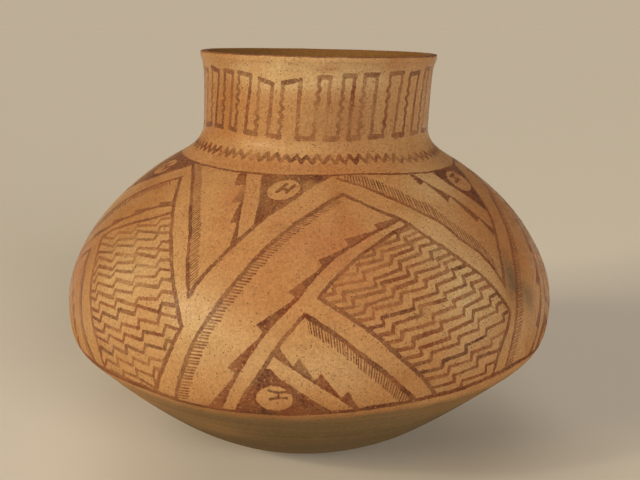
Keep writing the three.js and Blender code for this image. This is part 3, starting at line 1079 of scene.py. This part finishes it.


# Bare clay, darkened beyond its own colour as painted shade on the lower bowl: brown with level scraping
# streaks, greyer in patches, and a thin pale wash run down over it
def bareAndShadedColour(tree, place):
    levelled = addNode(tree, "ShaderNodeMapping", {"Vector": place, "Scale": scraping["stretch"]}).outputs[0]
    streaks = noise(tree, levelled, scraping["scale"], scraping["detail"])
    colour = mixed(tree, spread(tree, streaks, *scraping["tone"]), clay["bareDarkShaded"], clay["bare"])
    colour = mixed(tree, mottle(tree, place, "patches"), colour, clay["bareGreyShaded"])
    patchy = spread(tree, streaks, *scraping["wash"])
    return mixed(tree, times(tree, attribute(tree, "wash"), patchy), colour, clay["wash"]), streaks


# Buff slip: three sizes of mottling, and the stains, with their painted light and shade, laid over it
def slipColour(tree, place):
    colour = mixed(tree, mottle(tree, place, "broad"), clay["buff"], clay["paleBuff"])
    for name in ("middle", "small"):
        colour = mixed(tree, mottle(tree, place, name), colour, clay["deepBuff"])
    for name in patchFrom:
        patchShare = times(tree, attribute(tree, name), mottle(tree, place, name))
        colour = mixed(tree, patchShare, colour, clay[name])
    return colour


tick = {"stray": 0.3, "edge": (0.36, 0.18), "tipStray": 1.6, "tipEdge": (0.25, -0.25), "strength": (0.8, 1.0),
        "middle": 0.5, "hue": 0.45}


# Hatching: a mark lies in the middle of each whole number of the strip, a little off it by chance
def hatchFilm(tree):
    number = attribute(tree, "hatch")
    whole = maths(tree, "FLOOR", number)
    each = addNode(tree, "ShaderNodeTexWhiteNoise", {"W": whole}, noise_dimensions="1D")
    luck = addNode(tree, "ShaderNodeSeparateColor", {"Color": each.outputs["Color"]}).outputs
    off = times(tree, minus(tree, luck[0], tick["middle"]), tick["stray"])
    across = plus(tree, minus(tree, maths(tree, "FRACT", number), tick["middle"]), off)
    line = spread(tree, maths(tree, "ABSOLUTE", across), *tick["edge"])
    tip = plus(tree, attribute(tree, "hatchCut"), times(tree, luck[1], tick["tipStray"]))
    strength = spread(tree, luck[2], 0.0, 1.0, *tick["strength"])
    return times(tree, times(tree, line, spread(tree, tip, *tick["tipEdge"])), strength)


brushed = {"edge": (0.22, -0.22), "wear": 0.8, "fleck": 0.75}


# Paint over slip: the edge of the marks is roughened by fine noise, and the film is thin and worn in grains
def paintFilm(tree, place):
    edge = plus(tree, attribute(tree, "paint"), mottle(tree, place, "paintEdge"))
    ticks = hatchFilm(tree)
    covered = most(tree, spread(tree, edge, *brushed["edge"]), ticks)
    rubbed = times(tree, attribute(tree, "rubbed"), mottle(tree, place, "rubbed"))
    worn = plus(tree, times(tree, attribute(tree, "wear"), brushed["wear"]), mottle(tree, place, "thin"))
    worn = plus(tree, worn, rubbed, clamp=True)
    film = times(tree, mottle(tree, place, "paintGrain"), minus(tree, 1.0, worn))
    hue = most(tree, attribute(tree, "hue"), times(tree, ticks, tick["hue"]))
    hue = plus(tree, hue, mottle(tree, place, "hueDrift"), clamp=True)
    colour = mixed(tree, hue, clay["umber"], clay["redBrown"])
    flecks = times(tree, specks(tree, place, **spots["fleck"]), brushed["fleck"])
    return times(tree, covered, film), mixed(tree, flecks, colour, clay["fleck"])


# The wall loses its polish between two heights, downwards
polish = {"from": 125, "until": 85, "dull": 0.78, "specular": 0.2}
surface = {
    "slipEdge": (0.02, 0.98), "fine": {"scale": 700.0, "roughness": 0.65}, "shade": (0.25, 0.75, 0.8, 1.17),
    "speck": 0.88, "speckDepth": 0.8, "streakDepth": 1.6, "bump": 0.35, "bumpReach": 0.0004,
}


# Roughness: patchy where the wall is polished, dull inside and low on the wall
def glossOf(tree, place):
    height = addNode(tree, "ShaderNodeSeparateXYZ", {"Vector": place}).outputs["Z"]
    unpolished = spread(tree, height, polish["from"] * mm, polish["until"] * mm)
    dull = most(tree, attribute(tree, "inside"), unpolished)
    return most(tree, mottle(tree, place, "gloss"), times(tree, dull, polish["dull"]))


def clayMaterial(name, painted):
    material = bpy.data.materials.new(name)
    material.use_nodes = True
    tree = material.node_tree
    tree.nodes.clear()
    place = addNode(tree, "ShaderNodeTexCoord").outputs["Object"]
    # bare is the bowl's clay colour with painted shade in it
    bare, streaks = bareAndShadedColour(tree, place)
    slipEdged = plus(tree, attribute(tree, "slip"), mottle(tree, place, "slipEdge"))
    slipShare = spread(tree, slipEdged, *surface["slipEdge"])
    colour = mixed(tree, slipShare, bare, slipColour(tree, place))
    if painted:
        film, paint = paintFilm(tree, place)
        colour = mixed(tree, film, colour, paint)
    crowded = specks(tree, place, share=mottle(tree, place, "crowd"), **spots["fine"])
    dark = most(tree, crowded, specks(tree, place, **spots["coarse"]))
    colour = mixed(tree, times(tree, dark, surface["speck"]), colour, clay["speck"])
    colour = mixed(tree, attribute(tree, "inside"), colour, clay["inside"])
    fine = noise(tree, place, **surface["fine"])
    shade = spread(tree, fine, *surface["shade"])
    grainShade = addNode(tree, "ShaderNodeCombineColor", {0: shade, 1: shade, 2: shade}).outputs[0]
    colour = mixed(tree, 1.0, colour, grainShade, "MULTIPLY")
    relief = minus(tree, fine, times(tree, dark, surface["speckDepth"]))
    relief = plus(tree, relief, times(tree, streaks, minus(tree, surface["streakDepth"], slipShare)))
    raised = {"Strength": surface["bump"], "Distance": surface["bumpReach"], "Height": relief}
    bump = addNode(tree, "ShaderNodeBump", raised)
    inputs = {"Base Color": colour, "Roughness": glossOf(tree, place), "Normal": bump.outputs[0],
              "Specular IOR Level": polish["specular"]}
    shader = addNode(tree, "ShaderNodeBsdfPrincipled", inputs)
    addNode(tree, "ShaderNodeOutputMaterial", {"Surface": shader.outputs[0]})
    return material


materials = {"bare_clay": clayMaterial("bareClayShaded", False), "painted_slip": clayMaterial("paintedSlip", True)}
print("finishes made")


# Pieces: the moulded base and the coils on it, each in place of its solid

def placed(name, data):
    holder = bpy.data.objects.new(name, data)
    bpy.context.scene.collection.objects.link(holder)
    return holder


def addPiece(name, mesh, node, slot):
    piece = placed(name, mesh)
    mesh.materials.append(materials[slot])
    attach(piece, "root")
    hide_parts(node)
    print(name, len(mesh.polygons), "faces")


base = {"end": stretchLength["flat"] + jar["mouldReach"], "columns": 384}
# Courses from the base up: node, stretch of the profile, how many, columns, lengths in the finish map, slot
courses = [
    ("lower_wall_coil", "lowerWall", 3, 768, 4, "bare_clay"),
    ("shoulder_coil", "shoulder", 1, 1536, 6, "painted_slip"),
    ("upper_wall_coil", "upperWall", 5, 1536, 6, "painted_slip"),
    ("neck_foot_coil", "neckFoot", 1, 1152, 4, "painted_slip"),
    ("neck_coil", "neck", 2, 768, 4, "painted_slip"),
    ("rim_coil", "lip", 1, 768, 4, "painted_slip"),
]


def pieceName(node):
    words = node.split("_")
    return words[0] + "".join(word.capitalize() for word in words[1:])


def buildPieces():
    dish = basePiece("mouldedBase", base["end"], base["columns"])
    addPiece("mouldedBase", dish, "moulded_base", "bare_clay")
    reached = base["end"]
    for course, stretch, count, columns, pieces, slot in courses:
        length = stretchLength[stretch] - (jar["mouldReach"] if stretch == "lowerWall" else 0)
        for i in range(1, count + 1):
            node = f"{course}_{i}" if count > 1 else course
            end = reached + length / count
            name = pieceName(node)
            addPiece(name, ringPiece(name, reached, end, columns, pieces, stretch == "lip"), node, slot)
            reached = end


buildPieces()

# Floor, light and camera

studio = {
    "floorRings": (0.1, 0.5, 2.0, 8.0, 30.0), "floorColumns": 96, "floorColour": (0.64, 0.588, 0.519, 1),
    "floorRoughness": 0.8, "worldColour": (0.88, 0.76, 0.60, 1), "worldStrength": 0.13,
    "camera": (-0.0040, -0.5864, 0.28907), "pitch": 14.67, "lens": 47.12, "shift": 0.0261, "sensor": 36,
    "clipStart": 0.01,
}
# Far lamps by azimuth and height above level, in degrees, with their strength and how wide they look
lamps = [
    {"name": "key", "azimuth": -64, "rise": 20, "strength": 2.12, "width": 24, "colour": (1.0, 0.86, 0.62)},
    {"name": "front", "azimuth": 30, "rise": 20, "strength": 1.88, "width": 30, "colour": (1.0, 0.94, 0.84)},
    {"name": "side", "azimuth": 98, "rise": 10, "strength": 0.15, "width": 26, "colour": (1.0, 0.56, 0.22)},
    {"name": "top", "azimuth": 0, "rise": 82, "strength": 0.27, "width": 36, "colour": (1.0, 0.93, 0.82)},
    {"name": "back", "azimuth": 195, "rise": 24, "strength": 1.2, "width": 40, "colour": (1.0, 0.93, 0.82)},
]
# The one lamp that shows in the polish; its narrow beam stays on the jar
glint = {"azimuth": -52.5, "rise": 25.4, "distance": 1.5, "size": 0.08, "power": 0.47, "beam": 60,
         "colour": (1.0, 0.88, 0.64), "aim": (0.0, 0.0, 0.14)}


def floorMaterial(name):
    material = bpy.data.materials.new(name)
    material.use_nodes = True
    shader = material.node_tree.nodes["Principled BSDF"]
    shader.inputs["Base Color"].default_value = studio["floorColour"]
    shader.inputs["Roughness"].default_value = studio["floorRoughness"]
    shader.inputs["Specular IOR Level"].default_value = 0.0
    return material


# A flat disc: x and y are each ring's radius times the cosine and the sine of the turn
def addFloor():
    columns = studio["floorColumns"]
    radius = np.array(studio["floorRings"])[:, None]
    turn = np.arange(columns)[None, :] * 2 * math.pi / columns
    places = [radius * np.cos(turn), radius * np.sin(turn), 0 * radius * turn]
    points = np.stack(places, axis=-1).reshape(-1, 3)
    middle = len(points)
    quads = gridQuads(len(radius), columns, False)[:, ::-1]
    fan = np.stack([np.arange(columns), (np.arange(columns) + 1) % columns, np.full(columns, middle)], axis=1)
    mesh = meshOf("floor", np.vstack([points, np.zeros((1, 3))]), quads, fan)
    mesh.materials.append(floorMaterial("paleFloor"))
    floor = placed("floor", mesh)


# Turns a lamp to shine down towards the jar from its azimuth and rise
def hangLight(light, lamp):
    holder = placed(light.name, light)
    holder.rotation_euler = (math.radians(upright - lamp["rise"]), 0, math.radians(lamp["azimuth"]))
    return holder


def addLamp(lamp):
    light = bpy.data.lights.new(lamp["name"], "SUN")
    light.energy, light.angle, light.color = lamp["strength"], math.radians(lamp["width"]), lamp["colour"]
    hangLight(light, lamp).visible_glossy = False


def addGlint():
    light = bpy.data.lights.new("glint", "AREA")
    light.energy, light.size, light.color = glint["power"], glint["size"], glint["colour"]
    light.spread = math.radians(glint["beam"])
    turn, rise = math.radians(glint["azimuth"]), math.radians(glint["rise"])
    towards = np.array([math.cos(rise) * math.sin(turn), -math.cos(rise) * math.cos(turn), math.sin(rise)])
    hangLight(light, glint).location = np.array(glint["aim"]) + towards * glint["distance"]


def addCamera():
    lens = bpy.data.cameras.new("camera")
    lens.lens, lens.sensor_width, lens.shift_x = studio["lens"], studio["sensor"], studio["shift"]
    lens.clip_start = studio["clipStart"]
    camera = placed("camera", lens)
    camera.location = studio["camera"]
    camera.rotation_euler = (math.radians(upright - studio["pitch"]), 0, 0)
    bpy.context.scene.camera = camera


# What the floor sends back far from the jar: its colour times the lamps' light on it and the light all round
def farFloorColour():
    around = studio["worldStrength"] * np.array(studio["worldColour"][:3])
    for lamp in lamps:
        fall = lamp["strength"] * math.sin(math.radians(lamp["rise"])) / math.pi
        around = around + fall * np.array(lamp["colour"])
    return (*(np.array(studio["floorColour"][:3]) * around), 1)


# Dim light from all round; what is seen of it is as pale as the far floor, so that no edge shows
def addWorld():
    world = bpy.data.worlds.new("studio")
    world.use_nodes = True
    tree = world.node_tree
    tree.nodes.clear()
    light = addNode(tree, "ShaderNodeBackground",
                    {"Color": studio["worldColour"], "Strength": studio["worldStrength"]})
    backdrop = addNode(tree, "ShaderNodeBackground", {"Color": farFloorColour(), "Strength": 1.0})
    seen = addNode(tree, "ShaderNodeLightPath").outputs["Is Camera Ray"]
    shown = addNode(tree, "ShaderNodeMixShader", {0: seen, 1: light.outputs[0], 2: backdrop.outputs[0]})
    addNode(tree, "ShaderNodeOutputWorld", {"Surface": shown.outputs[0]})
    bpy.context.scene.world = world
    bpy.context.scene.view_settings.view_transform = "Standard"


addFloor()
for lamp in lamps:
    addLamp(lamp)
addGlint()
addCamera()
addWorld()
print("studio set")
